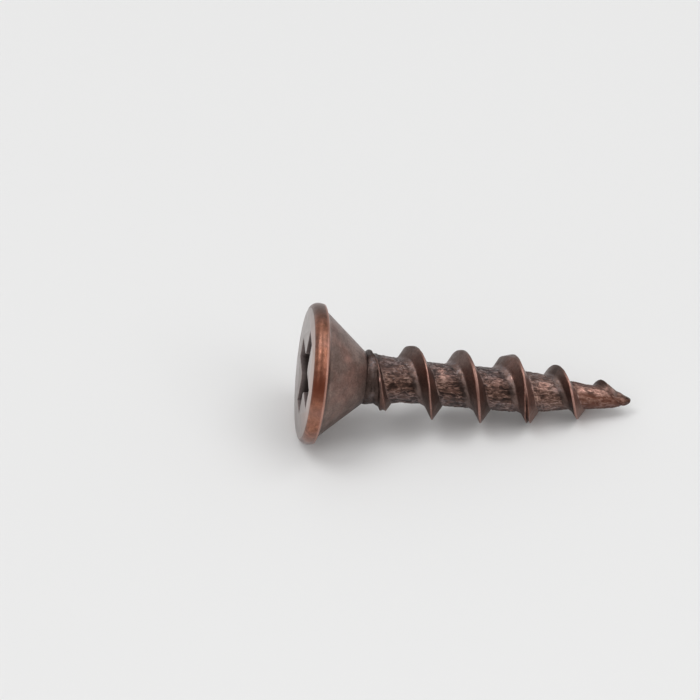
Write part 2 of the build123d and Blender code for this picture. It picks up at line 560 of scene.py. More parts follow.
# How strong the worn line of the crest is, by centre; the line is partly a painted highlight
CREST_WEAR_AND_GLINT = (
    (3.5, 0.55), (4.2, 0.6), (4.5, 0.42), (5.2, 0.3), (6.4, 0.65), (6.6, 0.8), (6.72, 1.0), (6.85, 0.8),
    (6.97, 0.6), (7.2, 0.75), (7.6, 0.5), (9.3, 0.45), (9.78, 0.45), (9.9, 0.9), (10.05, 1.05),
    (10.4, 0.7), (12.1, 0.7), (12.25, 0.85), (12.45, 0.65), (12.6, 0.85), (12.9, 1.0), (13.4, 0.6),
    (14.9, 0.8), (15.15, 1.1), (15.3, 1.1), (15.45, 0.8), (15.8, 0.75), (17.0, 0.8),
)
# Length of the folds in the roots, by place
FOLD_LENGTHS = (
    (6.5, 0.75), (7.5, 0.42), (9.5, 0.45), (10.3, 0.8), (12.5, 0.6), (15.5, 0.5), (15.8, 0.25),
)
# Share of the wrinkles' full height, by place
WRINKLE_SHARES = (
    (3.5, 0.5), (5.2, 1.0), (12, 1.0), (15.5, 0.75), (16.2, 0.4), (17.8, 0.35), (18.6, 0.15),
)
# How much lighter the roots are than the plain pattern, by place
ROOT_LIGHTNESS = (
    (3.4, -0.02), (6.6, -0.03), (7.5, -0.05), (10.0, -0.03), (12.2, 0.04), (13.3, 0.2), (14.6, 0.24),
    (15.2, 0.18), (16.2, 0.22),
)
# Ledges that broaden the crest towards the head where a turn is upmost: centre, reach, width
# and drop
LEDGES = ((6.05, 0.3, 0.2, 0.03), (8.9, 0.3, 0.14, 0.03), (11.72, 0.33, 0.45, 0.13))
# Small knobs of the rolled surface: place, direction, half length, half width and rise
KNOBS = (
    (4.1, 143, 0.07, 0.1, 0.035),
    (4.63, 132, 0.06, 0.06, 0.05),
    (4.93, 138, 0.05, 0.05, 0.045),
    (5.1, 118, 0.05, 0.05, 0.03),
    (5.35, 112, 0.09, 0.05, 0.03),
    (10.32, 134, 0.07, 0.07, 0.05),
    (11.25, 184, 0.34, 0.13, 0.06),
    (12.9, 100, 0.09, 0.09, 0.04),
    (11.76, 112, 0.1, 0.12, 0.03),
    (11.6, 108, 0.05, 0.06, 0.02),
)
# Copper that shows through the oxide of the cone: place, direction, half length, half width
# and strength
BLUSHES = ((2.05, 121, 0.17, 0.2, 0.34), (1.95, 145, 0.3, 0.3, 0.17), (1.3, 168, 0.3, 0.35, 0.13))
# Patches rubbed to bare copper, and painted highlights on the upper side from 16 to 18 mm: place, direction,
# half length, half width and strength
RUBBED_AND_GLINT_PATCHES = (
    (4.1, 143, 0.07, 0.11, 1.2),
    (7.75, 108, 0.32, 0.36, 0.95),
    (8.15, 116, 0.20, 0.24, 1.05),
    (8.3, 150, 0.30, 0.30, 0.2),
    (11.0, 120, 0.35, 0.45, 0.4),
    (13.75, 118, 0.28, 0.28, 1.35),
    (13.4, 130, 0.20, 0.30, 0.55),
    (13.9, 165, 0.35, 0.35, 0.3),
    (14.42, 128, 0.22, 0.16, 0.5),
    (16.0, 113, 0.25, 0.22, 1.5),
    (16.9, 112, 0.65, 0.2, 1.45),
    (11.8, 112, 0.1, 0.12, 0.9),
    (17.5, 95, 0.09, 0.12, 0.9),
    (17.87, 92, 0.12, 0.12, 0.9),
    (18.45, 140, 0.13, 0.12, 0.6),
)
COLLAR_PLACE = 3.57  # of the low collar behind the cone
STROKES_PER_TURN = 34  # rolled strokes around the axis
LAST_PLACE = 19.0  # end of the rolled surface, on the rounded end
KNOB_REACH = 3  # half widths from a knob's middle beyond which it has no rise
KNOB_RADIUS = 1.25  # of the shank, for the paler finish of the knobs
# Rows of points to one side of the crest's middle: their places near it, then even steps down
# the flank, then even rows to the middle of the root
CREST_ROWS = (0.0, 0.022, 0.045, 0.075, 0.11, 0.15, 0.185, 0.225)
FLANK_ROWS, FLANK_STEP = 11, 0.052
ROOT_ROWS = 13
WOUND_MERGE = 0.001  # points of neighbouring turns this close are one
CUT_MERGE = 0.002  # points beside a cut this close are one
TUBE_START = 0.05  # open end of the wound tube past the start of the neck
TUBE_END = 0.13  # its other open end, short of the point
# Rings of the rounded end: distance short of the point, share of the tube's radius
POINT_RINGS = ((0.07, 0.8), (0.03, 0.62), (0.008, 0.38))
POINT_BULGE = 0.006  # of the middle past the last ring

# What the radius and the finish follow at a point of the shank. Its height is 0 at a flank's
# foot and 1 on the crest, its root 1 between the turns and 0 on the thread, and past is how
# far it lies past the flank's foot.
ShankPoint = namedtuple(
    "ShankPoint", "turn place centre offset core ridge height root past wrinkles lightness"
)
# Shares from 0 to 1 of a point of the shank in the regions that its marks go by: the sides by direction,
# which carry painted light and shade, the neck and the tip by place, a netted patch near the tip, and fine
# mottles
Regions = namedtuple("Regions", "top upper lower shaded neck tip net mottle")


def core_radius(place, turn):
    """Radius of the shank between the turns of the thread, with the collar behind the cone."""
    collar = 0.11 + 0.05 * math.cos(turn - math.radians(50))
    width = 0.19 if place < COLLAR_PLACE else 0.29
    return along(CORE_RADII, place) + collar * bell(place - COLLAR_PLACE, width)


def crest_ledge(centre):
    """(width, drop) of the ledge on the crest's side towards the head."""
    wide = drop = 0.0
    for middle, reach, most, fall in LEDGES:
        share = bell(centre - middle, reach)
        wide += most * share
        drop += fall * share
    return wide, drop


def point_slope(shank, centre):
    """Slope of the flank that faces the point, which leans over on the last turn."""
    return math.tan(shank.flank) * (1 + 1.6 * blend(centre, 16.9, 17.4))


def thread_place(shank, start, turn, place):
    """(centre of the nearest crest, distance from it) for a point of the shank."""
    pitch = millimetres(shank.pitch)
    first = start + pitch * (turn - shank.start_turn) / math.tau
    centre = first + pitch * round((place - first) / pitch)
    return centre, place - centre - along(CREST_SHIFTS, centre)


def ridge_radius(shank, centre, offset, core):
    """Radius of the thread's flanks and crest, which may lie below the core."""
    crest = along(CREST_RADII, centre)
    half = along(CREST_HALF_WIDTHS, centre)
    if abs(offset) <= half:
        return crest - along(CREST_LAPS, centre) * (1 - (abs(offset) / half) ** 1.5)
    past = abs(offset) - half
    if offset > 0:
        return crest - past / point_slope(shank, centre)
    ledge, drop = crest_ledge(centre)
    if past < ledge:
        return crest - drop * past / ledge
    radius = crest - drop - (past - ledge) / math.tan(shank.flank)
    knee = core + millimetres(shank.fillet_height)
    if radius < knee:
        radius = knee - (knee - radius) * math.tan(shank.flank) / math.tan(shank.fillet)
    return radius


def beyond_foot(shank, centre, offset, core):
    """How far a point lies past the foot of the nearest flank, towards the middle of the root."""
    past = abs(offset) - along(CREST_HALF_WIDTHS, centre)
    rise = along(CREST_RADII, centre) - core
    if offset > 0:
        return past - rise * point_slope(shank, centre)
    ledge, drop = crest_ledge(centre)
    foot = millimetres(shank.fillet_height)
    return past - ledge - (rise - drop - foot) * math.tan(shank.flank) - foot * math.tan(shank.fillet)


def wrinkle(turn, place, core, past, offset):
    """(height, lightness) of the rolled root, past being how far the flank's foot lies off."""
    fold = around_axis(turn, place, core, 0.17, along(FOLD_LENGTHS, place))
    torn = around_axis(turn + 1.3, place, core, 0.13, 0.24)
    lump = around_axis(turn + 2, place, core, 0.42, 0.5)
    strength = blend(around_axis(turn + 1, place, core, 0.35, 0.5), -0.3, 0.2)
    across = (STROKES_PER_TURN * turn / math.tau + 0.5 * lump + 0.35 * torn) % 1
    line = max(bell(fold, 0.085), 0.8 * bell(across - 0.5, 0.13)) * strength
    inner = blend(past, -0.02, 0.12)
    height = (0.8 * line + 0.7 * fold + 0.4 * torn) * inner + 0.35 * lump
    # Partly painted light and shade: the lightness follows the wrinkles' height, lighter on their tops and
    # darker in their hollows.
    lightness = 0.21 + (0.42 * line + 0.25 * fold + 0.2 * torn) * inner + 0.25 * lump
    # Fine rings beside the fourth turn
    if 13.1 < place < 14.6 and offset > 0:
        beside = math.cos(past * math.tau / 0.16) * (1 - blend(past, 0.4, 0.6)) * blend(place, 13.1, 13.4)
        height += 0.35 * beside
        lightness += 0.2 * beside
    return max(-1.2, min(1.0, height)), max(0.0, min(1.0, lightness))


def shank_point(shank, start, turn, place):
    """What the radius and the finish follow at one point of the shank."""
    core = core_radius(place, turn)
    centre, offset = thread_place(shank, start, turn, place)
    ridge = ridge_radius(shank, centre, offset, core)
    rise = along(CREST_RADII, centre) - core
    past = beyond_foot(shank, centre, offset, core) + 0.09 * around_axis(turn, place, core, 0.25, 0.25)
    root = blend(past, -0.04, 0.1) if rise > 0 else 1.0
    height = max(0.0, ridge - core) / max(0.05, rise)
    wrinkles, lightness = wrinkle(turn, place, core, past, offset)
    return ShankPoint(turn, place, centre, offset, core, ridge, height, root, past, wrinkles, lightness)


def flank_relief(point):
    """Dents of the flanks, and the lip and streaks at the foot of the one that faces the head."""
    flank = 1 - point.root
    dent = around_axis(point.turn, point.place, 3.0, 1.0, 0.62)
    relief = 0.014 * flank * dent * (1 - blend(point.height, 0.75, 1.0))
    if point.offset < 0:
        relief += 0.015 * bell(turn_gap(point.turn, 95), 0.7) * bell(point.past + 0.02, 0.045)
        streak = around_axis(point.turn, point.offset, 3.2, 1.0, 0.085)
        relief += 0.02 * streak * flank * (1 - blend(point.height, 0.15, 0.4))
    return relief


def neck_relief(point):
    """Uneven facets of the neck."""
    facet = around_axis(point.turn + 1, point.place, 1.4, 0.5, 0.3)
    share = blend(point.place, 3.42, 3.5) * (1 - blend(point.place, 4.2, 4.8))
    return 0.07 * facet * share * (1 - blend(point.height, 0.6, 0.9))


def last_turn_relief(point):
    """Lumps of the thread's last turn."""
    lump = around_axis(point.turn, point.place, 1.0, 0.3, 0.22)
    share = blend(point.place, 16.9, 17.3) * (1 - blend(point.place, 18.0, 18.4))
    share *= blend(point.height, 0.1, 0.6) * blend(turn_gap(point.turn, 115), 1.0, 0.5)
    return 0.05 * lump * share


def shank_radius(shank, point):
    """Radius of the shank at a point, with the relief of its rolled surface."""
    amount = millimetres(shank.roughness) * along(WRINKLE_SHARES, point.place)
    radius = max(point.core, point.ridge) + point.root * amount * point.wrinkles
    radius += flank_relief(point) + neck_relief(point) + last_turn_relief(point)
    for *knob, rise in KNOBS:
        gap = spot_gap(point.turn, point.place, *knob, point.core)
        if gap < KNOB_REACH:
            radius += rise * bell(gap, 1)
    return radius


def row_places(pitch):
    """Places of the strip's rows across one pitch, close together at the crest."""
    flank = [CREST_ROWS[-1] + FLANK_STEP * row for row in range(1, FLANK_ROWS + 1)]
    rest = pitch / 2 - flank[-1]
    root = [flank[-1] + rest * row / ROOT_ROWS for row in range(1, ROOT_ROWS + 1)]
    side = [*CREST_ROWS, *flank, *root]
    return [-place for place in reversed(side[1:])] + side


def threaded_shank(head, shank):
    """Neck, thread and core as an open tube, from a strip of one pitch wound up the axis."""
    pitch = millimetres(shank.pitch)
    start = neck_start(head, shank)
    length = millimetres(shank.length)
    first = start - pitch * shank.start_turn / math.tau
    while first > start - pitch:
        first -= pitch
    rows = [(1, 0, first + place) for place in row_places(pitch)]
    tube = single_point("shank", rows[0])
    extrude_through(rows)
    apply_modifier(
        tube,
        "SCREW",
        angle=math.tau,
        screw_offset=pitch,
        iterations=math.ceil((length - first) / pitch) + 1,
        steps=shank.steps,
        render_steps=shank.steps,
        axis="Z",
        use_merge_vertices=False,
    )
    edit(tube)
    merge_doubles(WOUND_MERGE)
    for place, outward in ((start + TUBE_START, -1), (length - TUBE_END, 1)):
        bpy.ops.mesh.select_all(action="SELECT")
        bpy.ops.mesh.bisect(
            plane_co=(0, 0, place), plane_no=(0, 0, outward), clear_outer=True, threshold=1e-5
        )
    merge_doubles(CUT_MERGE)
    object_mode()
    for vertex in tube.data.vertices:
        point = shank_point(shank, start, math.atan2(vertex.co.y, vertex.co.x), vertex.co.z)
        scale = shank_radius(shank, point) / vertex.co.xy.length
        vertex.co.x *= scale
        vertex.co.y *= scale
    return tube


def close_point(tube, length):
    """Draw the open end together into the blunt point."""
    edit(tube)
    pick(tube, "EDGE", lambda edge: edge.is_boundary and edge.verts[0].co.z > length / 2)
    place, share = length - TUBE_END, 1.0
    for short, ring_share in POINT_RINGS:
        extrude_by((0, 0, length - short - place))
        factor = ring_share / share
        place, share = length - short, ring_share
        bpy.ops.transform.resize(value=(factor, factor, 1), center_override=(0, 0, place))
    bpy.ops.mesh.edge_face_add()
    bpy.ops.mesh.poke(offset=POINT_BULGE)
    object_mode()


def join_shank(blank, tube, neck):
    """Join the shank to the head and bridge the gap between them."""
    edit(blank)
    pick(blank, "FACE", lambda face: face.normal.z > 0.9 and abs(face.calc_center_median().z - neck) < 1e-3)
    bpy.ops.mesh.delete(type="ONLY_FACE")
    work_on(blank)
    tube.select_set(True)
    bpy.ops.object.join()
    bpy.ops.object.mode_set(mode="EDIT")
    pick(blank, "EDGE", lambda edge: edge.is_boundary)
    bpy.ops.mesh.bridge_edge_loops()
    face_outwards()


# Marks that the finish follows


def in_recess(head, place, radius):
    """Whether a point of the head lies on the walls of the recess."""
    edge = millimetres(head.recess_span) / 2 + RECESS_MARGIN - place * RECESS_DRAW
    return place > FACE_DEPTH and radius < edge


def mark_surface(piece, head, shank):
    """Store on the piece's points where its finish is worn, wrinkled, pale, ruddy or sooty, and where shade,
    highlights and sheen are painted on it.
    """
    start = neck_start(head, shank)
    marks = {name: [] for name in MARKS}
    for vertex in piece.data.vertices:
        turn = math.atan2(vertex.co.y, vertex.co.x)
        if vertex.co.z < start:
            found = head_marks(head, turn, vertex.co.z, vertex.co.xy.length)
        else:
            found = shank_marks(shank, start, turn, vertex.co.z)
        for name, values in marks.items():
            values.append(found.get(name, 0.0))
    for name, values in marks.items():
        layer = piece.data.attributes.new(name, "FLOAT", "POINT")
        layer.data.foreach_set("value", values)


def paint_regions(piece, head):
    """Give each region of the screw the slot of the finish it takes."""
    for _ in (OXIDE, RUBBED, FACE, RECESS):
        piece.data.materials.append(None)
    band_end = millimetres(head.rim_upper + head.rim_lower) + 0.01
    face = millimetres(head.face_diameter) / 2 + 0.004
    for polygon in piece.data.polygons:
        place = polygon.center.z
        radius = polygon.center.xy.length
        if place > band_end and not in_recess(head, place, radius) or place > HEAD_END:
            polygon.material_index = OXIDE
        elif radius > face and place < band_end:
            polygon.material_index = RUBBED
        elif polygon.normal.z < -0.8 and place < 0.03:
            polygon.material_index = FACE
        else:
            polygon.material_index = RECESS


def rim_marks(turn, place, rim_end):
    """Marks of a point of the rim, which is worn along its lower corner and has painted shade and a painted
    dark reflection across it.
    """
    corner = blend(place, rim_end - 0.14, rim_end - 0.07)
    return {
        # Painted shade: darker near 40 degrees, where the rim is upmost, and in a narrow strip at 112 degrees
        # across its highlight.
        "soot": max(1 - blend(turn_gap(turn, 40), 0.55, 1.2), 0.4 * towards(turn, 112, 0.17)),
        # Painted dark reflection: a dark red band near 154 degrees and a faint one near 125 degrees, kept off
        # the corner.
        "ruddy": (towards(turn, 154, 0.26) + 0.12 * towards(turn, 125, 0.35)) * (1 - corner),
        "pale": blend(turn_gap(turn, 240), 0.85, 0.1),
        "worn": 0.8 * corner + 0.35 * towards(turn, 177, 0.12),
    }


def head_marks(head, turn, place, radius):
    """Marks of a point of the head."""
    if in_recess(head, place, radius):
        # Painted shade, deeper towards the bottom of the recess.
        return {"soot": place / millimetres(head.recess_depth)}
    if place < FACE_DEPTH:
        # Painted light: the face grows lighter towards its edge at 143 degrees.
        return {"pale": blend(-radius * math.cos(turn + math.radians(37)), -0.4, 3.9) ** 1.5}
    rim_end = millimetres(head.rim_upper + head.rim_lower)
    if place < rim_end + 0.05:
        return rim_marks(turn, place, rim_end)
    foot = blend(place, 2.6, 3.4)
    # Painted shade towards the neck and on the underside near 225 degrees, and painted light on the upper
    # side near 55 degrees; the blushes are copper showing through.
    return {
        "soot": 0.35 * foot + 0.6 * blend(turn_gap(turn, 225), 0.8, 0.0),
        "pale": 0.6 * towards(turn, 55, 0.5) * (1 - foot),
        "worn": max(strength * spot(turn, place, *blush, radius) for *blush, strength in BLUSHES),
    }


def crest_line(point):
    """How bright the worn line is that runs along the edges of the crest. It is partly a painted highlight:
    left out near 50 degrees, along the top, and fainter away from 120 degrees.
    """
    turn, centre = point.turn, point.centre
    half = along(CREST_HALF_WIDTHS, centre)
    width = 0.019 + 0.007 * blend(centre, 5.0, 6.0)
    edges = [bell(point.offset - edge, width) for edge in (-half, half)]
    edges[0] *= blend(centre, 4.9, 6.0)
    broad = 0.6 * bell(centre - 9.5, 0.35) * (abs(point.offset) < half)
    line = max(*edges, broad) * blend(point.height, 0.5, 0.8) * blend(point.place, 3.6, 4.0)
    line *= blend(turn_gap(turn, 50), 0.35, 1.05) * (1 - 0.45 * blend(turn_gap(turn, 120), 1.1, 1.7))
    return line * along(CREST_WEAR_AND_GLINT, centre) * (1 - blend(point.place, 17.0, 17.5))


def rubbed_and_glint_patch(point):
    """How bare the patches rubbed to copper are, less so in the hollows of the surface; the patches from 16
    to 18 mm on the upper side are painted highlights.
    """
    bare = 0.15 + 0.85 * blend(point.lightness, 0.05, 0.5)
    return bare * max(
        strength * spot(point.turn, point.place, *patch, core_radius(patch[0], point.turn))
        for *patch, strength in RUBBED_AND_GLINT_PATCHES
    )


def region_shares(point):
    """How far a point lies in each of the regions that the marks of the shank go by."""
    turn, place = point.turn, point.place
    return Regions(
        top=towards(turn, 60, 0.7),
        upper=towards(turn, 100, 0.7),
        lower=blend(turn_gap(turn, 130), 0.5, 1.2),
        shaded=towards(turn, 148, 0.4),
        neck=1 - blend(place, 3.9, 4.5),
        tip=blend(place, 15.3, 15.7),
        net=spot(turn, place, 14.6, 127, 0.25, 0.24),
        mottle=blend(around_axis(turn + 3, place, 1.3, 0.13, 0.13), -0.15, 0.35),
    )


def head_flank_marks(point, region):
    """Marks of the flank that faces the head, and how far painted shade and wrinkles pass its foot."""
    turn, place, centre, height, past = point.turn, point.place, point.centre, point.height, point.past
    fillet = 1 - blend(height, 0.1, 0.35)
    # Painted shade, darker towards 148 degrees and away from 120 degrees and less so on the lower fillets;
    # the turns past 14.3 mm are darker too.
    soot = 0.12 + 0.3 * region.shaded + 0.45 * blend(turn_gap(turn, 120), 0.6, 1.1)
    soot += 0.35 * blend(centre, 14.3, 14.8)
    soot *= (1 - 0.7 * fillet * region.lower) * (1 - 0.6 * region.net)
    # Painted shade at the flank's foot, spreading into the root, strongest towards 148 degrees and left off
    # the top, the neck and the tip.
    foot = bell(past, 0.19) * (1 - region.neck) * (1 - region.top) * (1 - region.tip)
    foot *= (0.62 + 0.38 * region.shaded) * (1 - 0.8 * region.lower)
    # A mottled pale film with painted sheen on the upper and lower sides, and on the top.
    pale = (0.1 + 0.7 * region.upper + 0.4 * region.lower) * region.mottle + 0.3 * region.lower
    # Painted highlight along the lip at the flank's foot on the upper side, strongest near 11.8 mm.
    lip = (0.5 + 0.5 * bell(centre - 11.8, 0.4)) * region.upper * bell(past + 0.02, 0.035)
    torn = blend(around_axis(turn + 5, place, 1.3, 0.3, 0.3), -0.25, 0.25)
    return {
        "soot": max(soot, 0.75 * blend(place, 16.6, 16.9) * blend(height, 0.1, 0.3)),
        "pale": max(fillet * pale + 0.25 * region.top, lip),
        "ruddy": (0.3 * (1 - fillet) + 0.45 * blend(height, 0.75, 0.95)) * (1 - region.top),
        "foot": foot,
        "spread": 0.75 * torn * blend(past, -0.3, -0.05),
    }


def point_flank_marks(point, region):
    """Marks of the flank that faces the point, with its bare side and the lip at its foot."""
    centre, height = point.centre, point.height
    # Painted shade: darker low on the flank and on the lower side, less so on the top.
    soot = (0.02 + 0.13 * (1 - blend(height, 0.15, 0.7)) + 0.16 * region.lower) * (1 - 0.5 * region.top)
    open_side = 0.25 * blend(centre, 11.4, 12.2) * (1 - blend(centre, 16, 17))
    open_side = max(open_side, 0.12 * towards(point.turn, 146, 0.4) * (1 - region.neck))
    # Painted highlight: a mottled pale lip on the upper side; the top is paler too.
    lip = region.upper * region.mottle * bell(point.past - 0.02, 0.07)
    return {
        "soot": soot * (1 - region.tip) * (1 - 0.6 * blend(centre, 11.5, 12.5)),
        "pale": 0.2 * region.top + 0.8 * lip,
        "ruddy": 0.6 * blend(height, 0.2, 0.7) * (1 - region.top),
        "bare": open_side * (1 - point.root) * (1 - region.top),
        "lip": lip,
    }


def shank_marks(shank, start, turn, place):
    """Marks of a point of the shank."""
    # The patterns run on over the rounded end, where the rolled surface has stopped
    centre, offset = thread_place(shank, start, turn, place)
    point = shank_point(shank, start, turn, min(place, LAST_PLACE))
    point = point._replace(place=place, centre=centre, offset=offset)
    region = region_shares(point)
    found = (head_flank_marks if offset < 0 else point_flank_marks)(point, region)
    half = along(CREST_HALF_WIDTHS, centre)
    # Painted shade down the lap where the crest is split.
    in_lap = (abs(offset) < half * 0.6) * blend(centre, 12.45, 12.6) * (1 - blend(centre, 13.4, 13.7))
    flank = max(1 - point.root, found.get("lip", 0.0))
    pale = found["pale"]
    soot = max(found["soot"], in_lap)
    for *knob, _ in KNOBS:
        share = spot(turn, place, *knob, KNOB_RADIUS)
        pale = max(pale, share)
        flank = max(flank, 0.9 * share)
        soot *= 1 - share
    # Painted highlights on two facets of the neck; the rest of the neck gets painted shade below.
    facet_highlights = spot(turn, place, 3.7, 112, 0.16, 0.32) + 0.55 * spot(turn, place, 3.82, 190, 0.16, 0.35)
    facet_highlights *= 0.5 + 0.5 * blend(around_axis(turn, place, 1.4, 0.16, 0.5), -0.3, 0.3)
    # Painted sheen on the roots' top, upper and lower sides.
    root_painted_sheen = 0.35 * region.top + 0.4 * region.upper**2 * (1 - region.tip) + 0.6 * region.lower
    ruddy_tip = region.tip * point.root * 0.6 * blend(turn_gap(turn, 110), 0.1, 0.6)
    soot = max(flank * soot, found.get("foot", 0.0), 0.55 * blend(place, 18.6, 18.8))
    return {
        "worn": max(crest_line(point) * (1 - in_lap), rubbed_and_glint_patch(point), found.get("bare", 0.0)),
        "root": max(point.root, found.get("spread", 0.0), 0.8 * region.net) * (1 - 0.8 * region.neck),
        # Painted light: the roots of the first turns are lighter on their upper side.
        "high": point.lightness
        + along(ROOT_LIGHTNESS, place)
        + 0.2 * region.upper * (place < 6.5)
        + 0.3 * region.net,
        # Painted shade over the neck, except on its highlighted facets.
        "soot": soot * (1 - region.neck) + 0.95 * region.neck * (1 - 0.85 * facet_highlights),
        "ruddy": max(flank * found["ruddy"] * (1 - region.neck), ruddy_tip),
        "pale": max(flank * pale * (1 - blend(place, 16.6, 17.0)), region.net)
        + point.root * root_painted_sheen
        + 1.9 * region.neck * facet_highlights,
    }


def recess_mount():
    """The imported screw's mount in the recess, which tells how the screw lies."""
    return next(mount for mount in frame["record"]["mounts"] if mount["name"] == "cross_recess")


def lay_down(piece):
    """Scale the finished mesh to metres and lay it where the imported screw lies."""
    recess = recess_mount()
    axis = -Vector(recess["axis"]).normalized()
    side = Vector((0, 1, 0))
    turn = Matrix((side, axis.cross(side), axis)).transposed().to_4x4()
    piece.matrix_world = Matrix.Translation(Vector(recess["pos_m"])) @ turn @ Matrix.Scale(MILLIMETRE, 4)
    work_on(piece)
    bpy.ops.object.transform_apply(location=True, rotation=True, scale=True)


# Finish

# Heights of the bumps, in metres
FINE_BUMP = 0.00003
COARSE_BUMP = 0.00004


def add_node(tree, kind, place, **settings):
    """A shader node with its settings, where names of inputs are given as they are shown."""
    node = tree.nodes.new(kind)
    node.location = place
    for setting, value in settings.items():
        if setting in node.bl_rna.properties:
            setattr(node, setting, value)
        else:
            node.inputs[setting.replace("_", " ")].default_value = value
    return node


def opaque(colour):
    """A colour with full alpha."""
    return (*colour, 1.0)


def mix_colours(tree, place, factor, first, second, how="MIX"):
    """A colour mix node whose inputs are sockets or colours."""
    node = add_node(tree, "ShaderNodeMix", place, data_type="RGBA", blend_type=how)
    for index, value in ((0, factor), (6, first), (7, second)):
        if isinstance(value, bpy.types.NodeSocket):
            tree.links.new(value, node.inputs[index])
        elif index == 0:
            node.inputs[index].default_value = value
        else:
            node.inputs[index].default_value = opaque(value)
    return node.outputs[2]


def arithmetic(tree, place, operation, first, second=0.0, third=0.0, clamp=False):
    """A math node whose inputs are sockets or numbers."""
    node = add_node(tree, "ShaderNodeMath", place, operation=operation, use_clamp=clamp)
    for index, value in enumerate((first, second, third)):
        if isinstance(value, bpy.types.NodeSocket):
            tree.links.new(value, node.inputs[index])
        else:
            node.inputs[index].default_value = value
    return node.outputs[0]


def rescale(tree, place, value, low, high, to_low=0.0, to_high=1.0):
    """A value mapped from one range to another and kept inside it."""
    node = add_node(
        tree, "ShaderNodeMapRange", place, From_Min=low, From_Max=high, To_Min=to_low, To_Max=to_high
    )
    tree.links.new(value, node.inputs[0])
    return node.outputs[0]


def mark(tree, place, name):
    """The value of one of the marks stored on the screw's points."""
    return add_node(tree, "ShaderNodeAttribute", place, attribute_name=name).outputs["Fac"]


def speckle(tree, place, vector, scale, detail=4.0, rough=0.6, stretch=None):
    """Noise on the piece's own coordinates, stretched along its axis where asked."""
    if stretch:
        mapping = add_node(tree, "ShaderNodeMapping", (place[0] - 180, place[1]))
        mapping.inputs["Scale"].default_value = stretch
        tree.links.new(vector, mapping.inputs["Vector"])
        vector = mapping.outputs[0]
    node = add_node(tree, "ShaderNodeTexNoise", place, Scale=scale, Detail=detail, Roughness=rough)
    tree.links.new(vector, node.inputs["Vector"])
    return node.outputs["Fac"]


def times_grey(tree, place, colour, shade):
    """A colour times a grey whose brightness is a socket."""
    grey = add_node(tree, "ShaderNodeCombineColor", (place[0] - 200, place[1] - 200))
    for index in range(3):
        tree.links.new(shade, grey.inputs[index])
    return mix_colours(tree, place, 1.0, colour, grey.outputs[0], "MULTIPLY")


def new_group(name, inputs, outputs):
    """A shader node group with its sockets and its two end nodes."""
    group = bpy.data.node_groups.new(name, "ShaderNodeTree")
    for socket, kind, value in inputs:
        made = group.interface.new_socket(socket, in_out="INPUT", socket_type=kind)
        made.default_value = value
    for socket, kind in outputs:
        group.interface.new_socket(socket, in_out="OUTPUT", socket_type=kind)
    start = add_node(group, "NodeGroupInput", (-900, 0))
    end = add_node(group, "NodeGroupOutput", (900, 0))
    return group, start, end


def plating_group(tilt):
    """Mottled plating: two colours in patches, with fine specks, stains and a bump height."""
    group, start, end = new_group(
        "mottled_plating",
        [
            ("Main", "NodeSocketColor", (0.2, 0.2, 0.2, 1)),
            ("Patch", "NodeSocketColor", (0.3, 0.2, 0.2, 1)),
            ("Patch Amount", "NodeSocketFloat", 0.5),
            ("Stain", "NodeSocketFloat", 0.4),
            ("Scale", "NodeSocketFloat", 1.0),
        ],
        [
            ("Color", "NodeSocketColor"),
            ("Roughness", "NodeSocketFloat"),
            ("Height", "NodeSocketFloat"),
            ("Strokes", "NodeSocketFloat"),
        ],
    )
    coordinates = add_node(group, "ShaderNodeTexCoord", (-1300, 300))
    turned = add_node(group, "ShaderNodeMapping", (-1100, 300))
    turned.inputs["Rotation"].default_value = (0, -tilt, 0)
    group.links.new(coordinates.outputs["Object"], turned.inputs["Vector"])
    scaled = add_node(group, "ShaderNodeVectorMath", (-900, 300), operation="SCALE")
    group.links.new(turned.outputs[0], scaled.inputs[0])
    group.links.new(start.outputs["Scale"], scaled.inputs["Scale"])
    vector = scaled.outputs[0]
    broad = speckle(group, (-600, 500), vector, 620, 3, 0.55)
    patch = rescale(group, (-400, 500), broad, 0.47, 0.68)
    patch = arithmetic(group, (-200, 500), "MULTIPLY", patch, start.outputs["Patch Amount"])
    colour = mix_colours(group, (0, 400), patch, start.outputs["Main"], start.outputs["Patch"])
    speck = speckle(group, (-600, 250), vector, 9000, 5, 0.7)
    speck_dark = rescale(group, (-400, 250), speck, 0.35, 0.65, 0.78, 1.2)
    stain = speckle(group, (-600, 0), vector, 1500, 6, 0.62)
    stain = rescale(group, (-400, 0), stain, 0.38, 0.62)
    depth = arithmetic(group, (-200, 100), "MULTIPLY_ADD", stain, start.outputs["Stain"], 1.0)
    middle = arithmetic(group, (-300, -100), "MULTIPLY", start.outputs["Stain"], 0.5)
    depth = arithmetic(group, (-100, 0), "SUBTRACT", depth, middle)
    shade = arithmetic(group, (0, 100), "MULTIPLY", depth, speck_dark)
    colour = times_grey(group, (350, 300), colour, shade)
    group.links.new(colour, end.inputs["Color"])
    dull = rescale(group, (350, 0), stain, 0.0, 1.0, 1.12, 0.9)
    group.links.new(dull, end.inputs["Roughness"])
    stained = arithmetic(group, (150, -250), "MULTIPLY", stain, 0.65)
    height = arithmetic(group, (350, -200), "MULTIPLY_ADD", speck, 0.35, stained)
    group.links.new(height, end.inputs["Height"])
    grain = speckle(group, (-600, -400), vector, 3100, 3, 0.6, (0.3, 1, 1))
    away = arithmetic(group, (-450, -400), "SUBTRACT", grain, 0.5)
    away = arithmetic(group, (-300, -400), "ABSOLUTE", away)
    strokes = rescale(group, (-100, -400), away, 0.0, 0.05, 1.0, 0.0)
    group.links.new(strokes, end.inputs["Strokes"])
    return group


